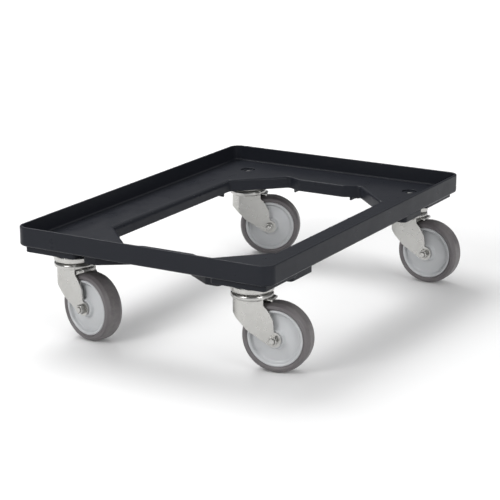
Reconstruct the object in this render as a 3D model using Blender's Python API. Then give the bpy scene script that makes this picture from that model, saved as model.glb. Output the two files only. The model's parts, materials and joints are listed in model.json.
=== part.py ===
"""Container dolly: a moulded open-deck frame on four swivel casters.

Origin on the floor, at the middle of the whole dolly's outline with the casters
as they stand. X runs along the long sides, Y along the short sides and Z up.
All lengths are in metres.
"""
from math import atan2, cos, pi, radians, sin, sqrt, tan

import bmesh
import bpy
from mathutils import Matrix, Vector

# ---- driving dimensions -------------------------------------------------
FRAME_LENGTH = 0.620
FRAME_WIDTH = 0.420
FRAME_CENTRE_Y = 0.0135         # the front wheels stand out past the frame, towards -Y
RIM_TOP = 0.168                 # top of the rim above the floor
LIP_HEIGHT = 0.0245             # rim above the deck
LIP_THICKNESS = 0.004
CORNER_RADIUS = 0.018           # vertical corners of the rim, seen from above
DECK_THICKNESS = 0.0045
WALL_THICKNESS = 0.0035         # skirts, corner pods and ribs

OPENING_HALF_WIDTH = 0.136      # straight long edges of the opening
GUSSET_SUM = 0.305              # |x| + |y| along the diagonal corner gussets
NOTCH_X = 0.2405                # deepest point of the notch beside each gusset
TONGUE_X = 0.229                # inner edge of the short bars' middle tongue
TONGUE_HALF_WIDTH = 0.041
SKIRT_DEPTH = 0.0195            # skirt round the opening, below the deck

POD_X = 0.280                   # outer faces of the corner pods
POD_Y = 0.190
POD_BOTTOM = 0.119
POD_CHAMFER_SUM = 0.351         # |x| + |y| along the pod wall that faces the swivel head
PAD_X = 0.302                   # outer faces of the corner pads
PAD_Y = 0.1985
PAD_BOTTOM = 0.1295
RIB_DEPTH = 0.006

CASTER_X = 0.250                # swivel axes
CASTER_Y = 0.149
CASTER_HEIGHT = 0.126           # floor to the mounting face
BOLT_SEAT = 0.132               # floor of the bolt recess in the deck
BOLT_RADIUS = 0.0050
BOLT_HOLE_RADIUS = 0.0054
BOLT_HEX_RADIUS = 0.0098        # across corners, bolt head and king nut alike
WASHER_RADIUS = 0.0112
WASHER_THICKNESS = 0.0015
RECESS_RADIUS = 0.0118
BOSS_RADIUS = 0.026

WHEEL_RADIUS = 0.050
TRAIL = 0.038                   # swivel axis to axle, horizontally
TYRE_HALF_WIDTH = 0.016
HUB_RADIUS = 0.0405
FORK_INNER_HALF = 0.0178
FORK_PLATE = 0.0027
FORK_FRONT = -0.0245            # middle of the sheet where it wraps round the front
FORK_BEND = 0.0140              # plan radius of that wrap
FORK_STEP = 0.0228              # upright rear edge of the sheet, under the crown
FORK_END_RADIUS = 0.0110        # rounded end round the axle
AXLE_RADIUS = 0.004
AXLE_HEX_RADIUS = 0.0075        # across corners, bolt head and nut alike
SLEEVE_RADIUS = 0.0061
HEAD_RADIUS = 0.0306            # fixed top race of the swivel head
CROWN_RADIUS = 0.0301           # bead round the crown, just under the race
CUP_RADIUS = 0.0254             # edge of the crown's plate, inside the skirt of the race
GAP = 0.0003                    # clearance between touching pieces

# name, side along X, side along Y, direction of the trail about Z in degrees
CASTERS = (
    ("front_left", -1, -1, -80.0),
    ("front_right", 1, -1, -90.0),
    ("rear_left", -1, 1, -104.0),
    ("rear_right", 1, 1, -66.0),
)

DECK_TOP = RIM_TOP - LIP_HEIGHT
DECK_BOTTOM = DECK_TOP - DECK_THICKNESS
DECK_MIDDLE = DECK_BOTTOM + DECK_THICKNESS / 2     # where pieces moulded under the deck start
TURNED_SEGMENTS = 20


# ---- scene and mesh helpers ---------------------------------------------
def clear_scene():
    for old in list(bpy.data.objects):
        bpy.data.objects.remove(old, do_unlink=True)


def make_material(name, colour, roughness, metallic):
    mat = bpy.data.materials.new(name)
    mat.use_nodes = True
    shader = mat.node_tree.nodes["Principled BSDF"]
    shader.inputs["Base Color"].default_value = (*colour, 1.0)
    shader.inputs["Roughness"].default_value = roughness
    shader.inputs["Metallic"].default_value = metallic
    return mat


def mesh_from(bm, name):
    bmesh.ops.recalc_face_normals(bm, faces=bm.faces)
    mesh = bpy.data.meshes.new(name)
    bm.to_mesh(mesh)
    bm.free()
    return mesh


def link(name, mesh, parent=None, location=(0, 0, 0), rotation=(0, 0, 0)):
    obj = bpy.data.objects.new(name, mesh)
    bpy.context.scene.collection.objects.link(obj)
    obj.parent = parent
    obj.location = location
    obj.rotation_euler = rotation
    return obj


def finish(obj, material, smooth=False):
    obj.data.materials.clear()
    obj.data.materials.append(material)
    if smooth:
        obj.data.shade_smooth()
        obj.data.set_sharp_from_angle(angle=radians(35))
    return obj


def combine(obj, other, operation):
    """Boolean other into obj, keep the result and remove other."""
    modifier = obj.modifiers.new(operation.title(), "BOOLEAN")
    modifier.operation = operation
    modifier.solver = "EXACT"
    modifier.object = other
    depsgraph = bpy.context.evaluated_depsgraph_get()
    result = bpy.data.meshes.new_from_object(obj.evaluated_get(depsgraph))
    obj.modifiers.clear()
    obj.data = result
    bpy.data.objects.remove(other, do_unlink=True)


def loft(rings, name):
    """Closed solid through rings of equal length, capped at both ends."""
    bm = bmesh.new()
    loops = [[bm.verts.new(p) for p in ring] for ring in rings]
    count = len(loops[0])
    for low, high in zip(loops, loops[1:]):
        for i in range(count):
            j = (i + 1) % count
            bm.faces.new((low[i], low[j], high[j], high[i]))
    bm.faces.new(list(reversed(loops[0])))
    bm.faces.new(loops[-1])
    return mesh_from(bm, name)


def prism(outline, z_low, z_high, name="prism"):
    return loft([[(x, y, z) for x, y in outline] for z in (z_low, z_high)], name)


def box(x_range, y_range, z_range, name="box"):
    corners = [(x_range[0], y_range[0]), (x_range[1], y_range[0]),
               (x_range[1], y_range[1]), (x_range[0], y_range[1])]
    return prism(corners, *z_range, name)


def circle(radius, count, centre=(0.0, 0.0), phase=0.0):
    return [(centre[0] + radius * cos(phase + 2 * pi * i / count),
             centre[1] + radius * sin(phase + 2 * pi * i / count)) for i in range(count)]


def turned(profile, segments, name):
    """Solid of revolution about Z from a closed (radius, z) profile.

    Profile points on the axis become poles.
    """
    bm = bmesh.new()
    rings = []
    for radius, z in profile:
        if radius == 0.0:
            rings.append([bm.verts.new((0, 0, z))] * segments)
        else:
            rings.append([bm.verts.new((radius * cos(2 * pi * i / segments),
                                        radius * sin(2 * pi * i / segments), z))
                          for i in range(segments)])
    for k, ring in enumerate(rings):
        other = rings[(k + 1) % len(rings)]
        if ring[0] is ring[1] and other[0] is other[1]:
            continue
        for i in range(segments):
            j = (i + 1) % segments
            corners = list(dict.fromkeys((ring[i], ring[j], other[j], other[i])))
            bm.faces.new(corners)
    return mesh_from(bm, name)


def torus(ring_radius, tube_radius, z, segments, sides, name):
    profile = [(ring_radius + tube_radius * cos(2 * pi * i / sides),
                z + tube_radius * sin(2 * pi * i / sides)) for i in range(sides)]
    return turned(profile, segments, name)


def lay_along_y(mesh):
    """Turn a mesh made about Z so that its axis lies along Y."""
    mesh.transform(Matrix.Rotation(-pi / 2, 4, "X"))
    return mesh


# ---- outlines -----------------------------------------------------------
def filleted(corners, steps):
    """Round each (x, y, radius) corner of a closed outline with an arc."""
    outline = []
    count = len(corners)
    for i, (x, y, radius) in enumerate(corners):
        here = Vector((x, y))
        before = (Vector(corners[i - 1][:2]) - here).normalized()
        after = (Vector(corners[(i + 1) % count][:2]) - here).normalized()
        half = before.angle(after) / 2
        centre = here + (before + after).normalized() * (radius / sin(half))
        start = here + before * (radius / tan(half)) - centre
        turn = start.angle_signed(here + after * (radius / tan(half)) - centre)
        first = atan2(start.y, start.x)
        for k in range(steps + 1):
            angle = first - turn * k / steps
            outline.append((centre.x + radius * cos(angle), centre.y + radius * sin(angle)))
    return outline


def rounded_rectangle(half_x, half_y, radius, steps=4):
    corners = [(half_x, half_y, radius), (-half_x, half_y, radius),
               (-half_x, -half_y, radius), (half_x, -half_y, radius)]
    return filleted(corners, steps)


def mirrored_four_ways(quarter):
    """Closed outline from its corners in the +X +Y quarter, listed from +Y to +X."""
    top_right = list(quarter)
    bottom_right = [(x, -y, r) for x, y, r in reversed(quarter)]
    bottom_left = [(-x, -y, r) for x, y, r in quarter]
    top_left = [(-x, y, r) for x, y, r in reversed(quarter)]
    return top_right + bottom_right + bottom_left + top_left


def opening_outline(grow=0.0):
    """Edge of the opening, moved outwards by grow."""
    diagonal = GUSSET_SUM + grow * sqrt(2)
    half_width = OPENING_HALF_WIDTH + grow
    notch_x = NOTCH_X + grow
    quarter = (
        (diagonal - half_width, half_width, 0.008 + grow),
        (notch_x, diagonal - notch_x, 0.007 + grow),
        (TONGUE_X + grow, TONGUE_HALF_WIDTH, 0.014 - grow),
    )
    return filleted(mirrored_four_ways(quarter), steps=3)


def pod_outline(side_x, side_y, inset=0.0):
    """Pod behind a swivel head, between it and the gusset, with a wing along each bar."""
    wing_x, wing_y = 0.212, 0.114      # ends of the wings, beside the swivel head
    diagonal = POD_CHAMFER_SUM - inset * sqrt(2)
    end_x, end_y = wing_x - inset, wing_y - inset
    corners = (
        (0.150 + inset, POD_Y - inset, 0.006),
        (end_x, POD_Y - inset, 0.006),
        (end_x, diagonal - end_x, 0.006),
        (diagonal - end_y, end_y, 0.006),
        (POD_X - inset, end_y, 0.006),
        (POD_X - inset, 0.092, 0.006),
        (0.252 - inset, 0.050 + inset, 0.004),
        (0.200 + inset, 0.050 + inset, 0.004),
        (0.150 + inset, 0.110 + inset, 0.004),
    )
    return filleted([(side_x * x, side_y * y, r) for x, y, r in corners], steps=2)


def pad_outline(side_x, side_y, inset=0.0):
    """Pad in the corner of the frame that the swivel head is bolted up against."""
    outer_x, outer_y = PAD_X - inset, PAD_Y - inset
    inner_x, inner_y = 0.2105 + inset, 0.1125 + inset
    diagonal = POD_CHAMFER_SUM - 0.0025 + inset * sqrt(2)
    corners = (
        (outer_x, inner_y, 0.004),
        (outer_x, outer_y, 0.004),
        (inner_x, outer_y, 0.004),
        (inner_x, diagonal - inner_x, 0.004),
        (diagonal - inner_y, inner_y, 0.004),
    )
    return filleted([(side_x * x, side_y * y, r) for x, y, r in corners], steps=2)


# ---- frame --------------------------------------------------------------
def tray_mesh():
    """Deck plate with its upstanding rim, before the opening is cut."""
    profile = (                         # inset from the outer face, height
        (0.0040, DECK_BOTTOM),
        (0.0012, DECK_BOTTOM + 0.0012),
        (0.0, DECK_BOTTOM + 0.0040),
        (0.0, RIM_TOP - 0.0012),
        (0.0012, RIM_TOP),
        (LIP_THICKNESS - 0.0008, RIM_TOP),
        (LIP_THICKNESS, RIM_TOP - 0.0010),
        (LIP_THICKNESS + 0.0006, DECK_TOP + 0.0025),
        (LIP_THICKNESS + 0.0025, DECK_TOP),
    )
    rings = []
    for inset, z in profile:
        outline = rounded_rectangle(FRAME_LENGTH / 2 - inset, FRAME_WIDTH / 2 - inset,
                                    CORNER_RADIUS - inset)
        rings.append([(x, y, z) for x, y in outline])
    return loft(rings, "tray")


def add_corner_pod(frame, side_x, side_y):
    """Hollow pod under a gusset, the pad beside it and the boss that takes the bolt."""
    pod = link("pod", prism(pod_outline(side_x, side_y), POD_BOTTOM, DECK_MIDDLE))
    hollow = link("hollow", prism(pod_outline(side_x, side_y, WALL_THICKNESS),
                                  POD_BOTTOM - 0.01, DECK_BOTTOM))
    combine(pod, hollow, "DIFFERENCE")
    pad = link("pad", prism(pad_outline(side_x, side_y), PAD_BOTTOM, DECK_MIDDLE))
    hollow = link("hollow", prism(pad_outline(side_x, side_y, WALL_THICKNESS),
                                  PAD_BOTTOM - 0.01, DECK_BOTTOM))
    combine(pad, hollow, "DIFFERENCE")
    combine(pod, pad, "UNION")
    x, y = side_x * CASTER_X, side_y * CASTER_Y
    half = WALL_THICKNESS / 2
    rib_low = PAD_BOTTOM + 0.001
    ribs = (((side_x * 0.152, side_x * 0.300), (y - half, y + half)),
            ((x - half, x + half), (side_y * 0.060, side_y * 0.197)))
    for x_range, y_range in ribs:
        rib = box(sorted(x_range), sorted(y_range), (rib_low, DECK_MIDDLE))
        combine(pod, link("rib", rib), "UNION")
    boss = prism(circle(BOSS_RADIUS, TURNED_SEGMENTS, (x, y)), CASTER_HEIGHT, DECK_MIDDLE)
    combine(pod, link("boss", boss), "UNION")
    combine(frame, pod, "UNION")


def add_bar_ribs(frame):
    """Ribs across the underside of the bars, between the skirt and the rim."""
    low = DECK_BOTTOM - RIB_DEPTH
    half = WALL_THICKNESS / 2
    inner_y, outer_y = OPENING_HALF_WIDTH + 0.001, FRAME_WIDTH / 2 - 0.030
    inner_x, outer_x = TONGUE_X + 0.001, FRAME_LENGTH / 2 - 0.030
    for side in (-1, 1):
        for x in (-0.12, -0.06, 0.0, 0.06, 0.12):
            y_range = sorted((side * inner_y, side * outer_y))
            rib = box((x - half, x + half), y_range, (low, DECK_MIDDLE))
            combine(frame, link("rib", rib), "UNION")
        for y in (-0.03, 0.0, 0.03):
            x_range = sorted((side * inner_x, side * outer_x))
            rib = box(x_range, (y - half, y + half), (low, DECK_MIDDLE))
            combine(frame, link("rib", rib), "UNION")


def make_frame(material):
    frame = link("frame_moulding", tray_mesh())
    skirt = prism(opening_outline(WALL_THICKNESS), DECK_TOP - SKIRT_DEPTH, DECK_MIDDLE)
    combine(frame, link("skirt", skirt), "UNION")
    for _, side_x, side_y, _ in CASTERS:
        add_corner_pod(frame, side_x, side_y)
    add_bar_ribs(frame)
    opening = prism(opening_outline(), POD_BOTTOM - 0.01, RIM_TOP + 0.01)
    combine(frame, link("opening", opening), "DIFFERENCE")
    for _, side_x, side_y, _ in CASTERS:
        centre = (side_x * CASTER_X, side_y * CASTER_Y)
        recess = prism(circle(RECESS_RADIUS, TURNED_SEGMENTS, centre), BOLT_SEAT, RIM_TOP)
        hole = prism(circle(BOLT_HOLE_RADIUS, 12, centre), POD_BOTTOM, RIM_TOP)
        combine(frame, link("recess", recess), "DIFFERENCE")
        combine(frame, link("hole", hole), "DIFFERENCE")
    frame.location.y = FRAME_CENTRE_Y
    return finish(frame, material)


# ---- swivel head --------------------------------------------------------
# Profiles of the head are (radius, drop), with the drop measured down from the
# frame's mounting face.
def head_profile(*points):
    return [(radius, CASTER_HEIGHT - drop) for radius, drop in points]


def mount_bolt_mesh():
    """Hex bolt through the boss, the fixed race and the king nut."""
    seat = BOLT_SEAT + WASHER_THICKNESS + 2 * GAP
    head = link("head", prism(circle(BOLT_HEX_RADIUS, 6), seat, seat + 0.0060))
    shank = prism(circle(BOLT_RADIUS, 12), CASTER_HEIGHT - 0.0290, seat + 0.003)
    combine(head, link("shank", shank), "UNION")
    mesh = head.data
    bpy.data.objects.remove(head)
    return mesh


def mount_washer_mesh():
    low, high = BOLT_SEAT + GAP, BOLT_SEAT + GAP + WASHER_THICKNESS
    profile = ((BOLT_HOLE_RADIUS, low), (WASHER_RADIUS, low),
               (WASHER_RADIUS, high), (BOLT_HOLE_RADIUS, high))
    return turned(profile, 16, "mount_washer")


def fixed_race_mesh():
    """Top cap of the swivel head: its skirt shields the upper balls, its boss carries the nut."""
    profile = head_profile(
        (BOLT_HOLE_RADIUS, 0.0192),
        (0.0085, 0.0192),
        (0.0085, 0.0053),
        (0.0264, 0.0053),
        (0.0266, 0.0134),
        (HEAD_RADIUS - 0.0030, 0.0134),
        (HEAD_RADIUS - 0.0009, 0.0122),
        (HEAD_RADIUS, 0.0100),
        (HEAD_RADIUS, 0.0060),
        (HEAD_RADIUS - 0.0012, 0.0025),
        (HEAD_RADIUS - 0.0040, GAP),
        (BOLT_HOLE_RADIUS, GAP),
    )
    return turned(profile, TURNED_SEGMENTS, "fixed_race")


def ball_ring_mesh(ring_radius, ball_radius, drop, name):
    """A full row of bearing balls, drawn as the ring that they sweep."""
    return torus(ring_radius, ball_radius, CASTER_HEIGHT - drop, 12, 5, name)


def king_nut_mesh():
    """Hex nut with a round flange that is the lower ball race."""
    flange = head_profile((BOLT_HOLE_RADIUS, 0.0230), (0.0160, 0.0230), (0.0165, 0.0222),
                          (0.0165, 0.0195), (BOLT_HOLE_RADIUS, 0.0195))
    nut = link("nut", turned(flange, 16, "flange"))
    hexagon = prism(circle(BOLT_HEX_RADIUS, 6), CASTER_HEIGHT - 0.0295, CASTER_HEIGHT - 0.0220)
    hexagon = link("hexagon", hexagon)
    bore = prism(circle(BOLT_HOLE_RADIUS, 12), CASTER_HEIGHT - 0.033, CASTER_HEIGHT - 0.018)
    combine(hexagon, link("bore", bore), "DIFFERENCE")
    combine(nut, hexagon, "UNION")
    mesh = nut.data
    bpy.data.objects.remove(nut)
    return mesh


# ---- fork ---------------------------------------------------------------
def crown_mesh():
    """Pressed crown: a plate under the fixed race, and a deep bead round its edge."""
    profile = head_profile(
        (0.0094, 0.0140),
        (0.0223, 0.0140),
        (CUP_RADIUS - 0.0018, 0.0152),
        (CUP_RADIUS - 0.0018, 0.0226),
        (CROWN_RADIUS - 0.0030, 0.0226),
        (CROWN_RADIUS - 0.0009, 0.0213),
        (CROWN_RADIUS, 0.0183),
        (CROWN_RADIUS - 0.0009, 0.0153),
        (CROWN_RADIUS - 0.0030, 0.0140),
        (CUP_RADIUS, 0.0140),
        (CUP_RADIUS, 0.0115),
        (0.0094, 0.0115),
    )
    return turned(profile, TURNED_SEGMENTS, "crown")


def height_along(points, x):
    """Height at x of a line through (x, z) points."""
    for (x0, z0), (x1, z1) in zip(points, points[1:]):
        if x <= x1:
            return z0 + (z1 - z0) * (x - x0) / (x1 - x0)
    return points[-1][1]


def fork_heights(x):
    """Lower and upper edge of the fork's sheet at x."""
    axle = WHEEL_RADIUS
    lower = ((-0.060, axle + 0.034), (-0.022, axle + 0.032), (-0.0007, axle + 0.010),
             (0.014, axle + 0.0015), (0.0275, axle - 0.007), (TRAIL, axle - 0.0108))
    upper = ((FORK_STEP, axle + 0.048), (0.029, axle + 0.042), (0.0366, axle + 0.029),
             (0.042, axle + 0.0185), (0.060, axle - 0.010))
    reach = sqrt(max(0.0002 ** 2, FORK_END_RADIUS ** 2 - (x - TRAIL) ** 2))
    low = height_along(lower, x) if x < TRAIL - 0.003 else axle + 0.0005 - reach
    if x <= FORK_STEP:
        return low, CASTER_HEIGHT - 0.0138
    high = height_along(upper, x)
    return low, min(high, axle + 0.0005 + reach) if x > TRAIL else high


def fork_stations():
    """Plan of the sheet, as (x, y) and outward direction: one leg, the front, the other leg."""
    end, middle = TRAIL + FORK_END_RADIUS, FORK_INNER_HALF + FORK_PLATE / 2
    bend_x = FORK_FRONT + FORK_BEND
    leg = [end - 0.012 * (1 - cos(pi / 2 * k / 6)) for k in range(7)]
    leg += [0.0325, 0.0275, FORK_STEP + 0.0003]
    leg += [FORK_STEP - (FORK_STEP - bend_x) * k / 8 for k in range(8)]
    stations = [((x, middle), (0, 1)) for x in leg]
    for k in range(6):
        angle = pi / 2 + pi / 2 * k / 5
        stations.append(((bend_x + FORK_BEND * cos(angle),
                          middle - FORK_BEND + FORK_BEND * sin(angle)), (cos(angle), sin(angle))))
    return stations + [((x, -y), (nx, -ny)) for (x, y), (nx, ny) in reversed(stations)]


def sheet_mesh():
    """Pressed sheet that wraps the front of the wheel and holds the axle on both sides."""
    rings = []
    half = FORK_PLATE / 2
    for (x, y), (out_x, out_y) in fork_stations():
        low, high = fork_heights(x)
        inner = (x - out_x * half, y - out_y * half)
        outer = (x + out_x * half, y + out_y * half)
        rings.append([(*inner, low), (*inner, high), (*outer, high), (*outer, low)])
    return loft(rings, "sheet")


def fork_mesh():
    fork = link("crown", crown_mesh())
    combine(fork, link("sheet", sheet_mesh()), "UNION")
    lip_low, lip_high = CASTER_HEIGHT - 0.0240, CASTER_HEIGHT - 0.0210
    lip = box((0.0235, 0.0325), (-0.0125, 0.0125), (lip_low, lip_high))
    combine(fork, link("lip", lip), "UNION")
    hole = lay_along_y(prism(circle(AXLE_RADIUS + GAP, 12), -0.03, 0.03))
    hole.transform(Matrix.Translation((TRAIL, 0, WHEEL_RADIUS)))
    combine(fork, link("hole", hole), "DIFFERENCE")
    mesh = fork.data
    bpy.data.objects.remove(fork)
    return mesh


# ---- wheel and axle -----------------------------------------------------
def axle_bolt_mesh():
    face = FORK_INNER_HALF + FORK_PLATE + GAP
    bolt = link("bolt", prism(circle(AXLE_HEX_RADIUS, 6), face, face + 0.0053))
    shank = prism(circle(AXLE_RADIUS, 12), -face - 0.0085, face + 0.002)
    combine(bolt, link("shank", shank), "UNION")
    mesh = bolt.data
    bpy.data.objects.remove(bolt)
    return lay_along_y(mesh)


def axle_nut_mesh():
    face = FORK_INNER_HALF + FORK_PLATE + GAP
    nut = link("nut", prism(circle(AXLE_HEX_RADIUS, 6), -face - 0.0065, -face))
    bore = prism(circle(AXLE_RADIUS + GAP, 12), -0.04, 0.0)
    combine(nut, link("bore", bore), "DIFFERENCE")
    mesh = nut.data
    bpy.data.objects.remove(nut)
    return lay_along_y(mesh)


def axle_sleeve_mesh():
    half = FORK_INNER_HALF - GAP
    inner = AXLE_RADIUS + GAP
    profile = ((inner, -half), (SLEEVE_RADIUS, -half), (SLEEVE_RADIUS, half), (inner, half))
    return lay_along_y(turned(profile, 12, "axle_sleeve"))


def hub_mesh():
    """Dished wheel centre: boss, smooth web and a raised rim ring, alike on both faces."""
    bore = SLEEVE_RADIUS + GAP
    half_profile = (                     # radius, distance from the middle plane
        (bore, 0.0165),
        (0.0125, 0.0165),
        (0.0150, 0.0105),
        (0.0330, 0.0090),
        (0.0365, 0.0140),
        (HUB_RADIUS, 0.0140),
    )
    upper = [(r, z) for r, z in half_profile]
    lower = [(r, -z) for r, z in reversed(half_profile)]
    return lay_along_y(turned(upper + lower, TURNED_SEGMENTS, "hub"))


def tyre_mesh():
    """Soft tread with rounded shoulders, bonded round the hub."""
    half_profile = (
        (HUB_RADIUS + GAP, 0.0135),
        (0.0440, TYRE_HALF_WIDTH),
        (0.0480, 0.0135),
        (WHEEL_RADIUS, 0.0060),
    )
    upper = [(r, z) for r, z in half_profile]
    lower = [(r, -z) for r, z in reversed(half_profile)]
    return lay_along_y(turned(upper + lower, TURNED_SEGMENTS, "tyre"))


# ---- assembly -----------------------------------------------------------
def make_meshes():
    return {
        "mount_bolt": mount_bolt_mesh(),
        "mount_washer": mount_washer_mesh(),
        "fixed_race": fixed_race_mesh(),
        "upper_ball_ring": ball_ring_mesh(0.0195, 0.0028, 0.0084, "upper_ball_ring"),
        "lower_ball_ring": ball_ring_mesh(0.0130, 0.0022, 0.0167, "lower_ball_ring"),
        "king_nut": king_nut_mesh(),
        "fork": fork_mesh(),
        "axle_bolt": axle_bolt_mesh(),
        "axle_nut": axle_nut_mesh(),
        "axle_sleeve": axle_sleeve_mesh(),
        "wheel_hub": hub_mesh(),
        "tyre": tyre_mesh(),
    }


def make_materials():
    return {
        "plastic": make_material("moulded_plastic", (0.030, 0.033, 0.042), 0.42, 0.0),
        "zinc": make_material("zinc_plated_steel", (0.62, 0.60, 0.56), 0.34, 1.0),
        "steel": make_material("bright_steel", (0.70, 0.70, 0.70), 0.25, 1.0),
        "hub": make_material("hub_plastic", (0.50, 0.52, 0.55), 0.45, 0.0),
        "rubber": make_material("grey_tyre", (0.16, 0.145, 0.15), 0.65, 0.0),
    }


FIXED_PIECES = {"mount_bolt": "steel", "mount_washer": "zinc", "fixed_race": "zinc",
                "king_nut": "zinc"}
SWIVEL_PIECES = {"fork": "zinc", "upper_ball_ring": "steel", "lower_ball_ring": "steel"}
AXLE_PIECES = {"axle_bolt": "zinc", "axle_nut": "zinc", "axle_sleeve": "steel"}
WHEEL_PIECES = {"wheel_hub": "hub", "tyre": "rubber"}
SMOOTH_PIECES = {"fixed_race", "upper_ball_ring", "lower_ball_ring", "fork", "axle_sleeve",
                 "wheel_hub", "tyre", "mount_washer"}


def make_caster(corner, side_x, side_y, heading, meshes, materials):
    """One caster: empties stand on the swivel axis and on the axle."""
    centre = (side_x * CASTER_X, FRAME_CENTRE_Y + side_y * CASTER_Y, 0)
    mount = link("mount_" + corner, None, None, centre)
    swivel = link("swivel_" + corner, None, mount, (0, 0, 0), (0, 0, radians(heading)))
    axle = link("axle_" + corner, None, swivel, (TRAIL, 0, WHEEL_RADIUS))
    groups = ((FIXED_PIECES, mount), (SWIVEL_PIECES, swivel), (AXLE_PIECES, axle),
              (WHEEL_PIECES, axle))
    for pieces, parent in groups:
        for piece, finish_name in pieces.items():
            obj = link(piece + "_" + corner, meshes[piece], parent)
            finish(obj, materials[finish_name], piece in SMOOTH_PIECES)


def main():
    clear_scene()
    materials = make_materials()
    make_frame(materials["plastic"])
    meshes = make_meshes()
    for caster in CASTERS:
        make_caster(*caster, meshes, materials)


main()
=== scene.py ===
"""Visual model of a container dolly: an open moulded frame on four swivel casters."""
import json
from math import atan2, cos, pi, radians, sin, sqrt, tan

import bmesh
import bpy
from mathutils import Matrix, Vector


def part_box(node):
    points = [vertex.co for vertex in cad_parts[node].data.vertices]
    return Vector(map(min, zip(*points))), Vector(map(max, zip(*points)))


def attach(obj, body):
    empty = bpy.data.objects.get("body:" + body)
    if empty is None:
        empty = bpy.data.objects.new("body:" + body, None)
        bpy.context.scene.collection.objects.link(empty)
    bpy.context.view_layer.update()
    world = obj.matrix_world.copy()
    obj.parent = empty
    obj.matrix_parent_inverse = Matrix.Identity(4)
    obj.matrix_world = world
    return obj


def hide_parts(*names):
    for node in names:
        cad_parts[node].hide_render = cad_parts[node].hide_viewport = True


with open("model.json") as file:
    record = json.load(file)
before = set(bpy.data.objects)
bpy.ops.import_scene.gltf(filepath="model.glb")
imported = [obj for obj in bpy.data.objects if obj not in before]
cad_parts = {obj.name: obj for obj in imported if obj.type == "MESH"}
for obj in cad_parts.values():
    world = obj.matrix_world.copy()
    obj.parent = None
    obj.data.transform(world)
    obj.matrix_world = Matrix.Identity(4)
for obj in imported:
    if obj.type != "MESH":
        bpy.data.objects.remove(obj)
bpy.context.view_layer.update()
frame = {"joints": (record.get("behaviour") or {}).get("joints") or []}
JOINTS = {joint["name"]: joint for joint in frame["joints"]}
CORNERS = ("front_left", "front_right", "rear_left", "rear_right")

# ---- sizes, in metres ---------------------------------------------------
TRAY_LOW, TRAY_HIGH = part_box("frame_moulding")
TRAY_CENTRE = Vector(((TRAY_LOW.x + TRAY_HIGH.x) / 2, (TRAY_LOW.y + TRAY_HIGH.y) / 2, 0))
HALF_LENGTH = (TRAY_HIGH.x - TRAY_LOW.x) / 2
HALF_WIDTH = (TRAY_HIGH.y - TRAY_LOW.y) / 2
RIM_TOP = TRAY_HIGH.z
POD_BOTTOM = TRAY_LOW.z
LIP_HEIGHT = 0.0245                # rim above the deck
DECK_THICKNESS = 0.0045
DECK_TOP = RIM_TOP - LIP_HEIGHT
DECK_BOTTOM = DECK_TOP - DECK_THICKNESS
DECK_MIDDLE = (DECK_TOP + DECK_BOTTOM) / 2
LIP_THICKNESS = 0.004
CORNER_RADIUS = 0.018
WALL = 0.0035                      # skirts, pods and ribs
SKIRT_BOTTOM = DECK_TOP - 0.0195
RIB_DEPTH = 0.006                  # ribs across the bars
BAR_RIB_INSET = 0.030              # outer ends of those ribs, in from the rim

OPENING_HALF_WIDTH = 0.136         # straight long edges of the opening
GUSSET_SUM = 0.305                 # |x| + |y| along the diagonal corner gussets
NOTCH_X = 0.2405                   # deepest point of the notch beside each gusset
TONGUE_X = 0.229                   # inner edge of the short bars' middle tongue
TONGUE_HALF_WIDTH = 0.041
SOFT_EDGE = 0.0075                 # rounding of the opening's long edges
CRISP_EDGE = 0.0024                # rounding of its gussets and short ends

POD_X, POD_Y = 0.280, 0.190        # outer faces of the corner pods
POD_CHAMFER_SUM = 0.351            # |x| + |y| along the pod wall that faces the swivel head
PAD_INSET_X, PAD_INSET_Y = 0.0080, 0.0115    # outer faces of the pads, in from the rim
PAD_CHAMFER_SUM = 0.3485

GAP = 0.0003                       # clearance between touching pieces
MOUNT_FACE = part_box("fixed_race_front_left")[1].z + GAP
PAD_BOTTOM = MOUNT_FACE + 0.0035
BOLT_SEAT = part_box("mount_washer_front_left")[0].z - GAP
BOLT_RADIUS = 0.0050
BOLT_HOLE = 0.0054
BOLT_HEX_RADIUS = 0.0098           # across corners, bolt head and king nut alike
WASHER_RADIUS = 0.0112
WASHER_THICKNESS = 0.0015
RECESS_RADIUS = 0.0118
BOSS_RADIUS = 0.026

AXLE_RADIUS = 0.0040
AXLE_HOLE = AXLE_RADIUS + GAP
AXLE_HEX_RADIUS = 0.0072           # across corners, bolt head and nut alike
WHEEL_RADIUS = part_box("tyre_front_left")[1].z / 2
TRAIL = 0.038                      # swivel axis to axle, horizontally
FORK_HALF = 0.01915                # middle of the fork's sheet, from the wheel's middle plane
FORK_SHEET = 0.0027
FORK_FACE = FORK_HALF + FORK_SHEET / 2


# ---- mesh helpers -------------------------------------------------------
def mesh_from(bm, name):
    bmesh.ops.recalc_face_normals(bm, faces=bm.faces)
    mesh = bpy.data.meshes.new(name)
    bm.to_mesh(mesh)
    bm.free()
    return mesh


def new_object(name, mesh):
    obj = bpy.data.objects.new(name, mesh)
    bpy.context.scene.collection.objects.link(obj)
    return obj


def applied(obj):
    """Bake the object's modifiers into its mesh."""
    depsgraph = bpy.context.evaluated_depsgraph_get()
    result = bpy.data.meshes.new_from_object(obj.evaluated_get(depsgraph))
    obj.modifiers.clear()
    obj.data = result
    return obj


def combine(obj, mesh, operation):
    """Boolean a closed mesh into obj."""
    other = new_object("tool", mesh)
    modifier = obj.modifiers.new(operation, "BOOLEAN")
    modifier.operation = operation
    modifier.solver = "EXACT"
    modifier.object = other
    applied(obj)
    bpy.data.objects.remove(other, do_unlink=True)


def take_mesh(obj, name):
    mesh = obj.data
    mesh.name = name
    bpy.data.objects.remove(obj, do_unlink=True)
    return mesh


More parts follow.
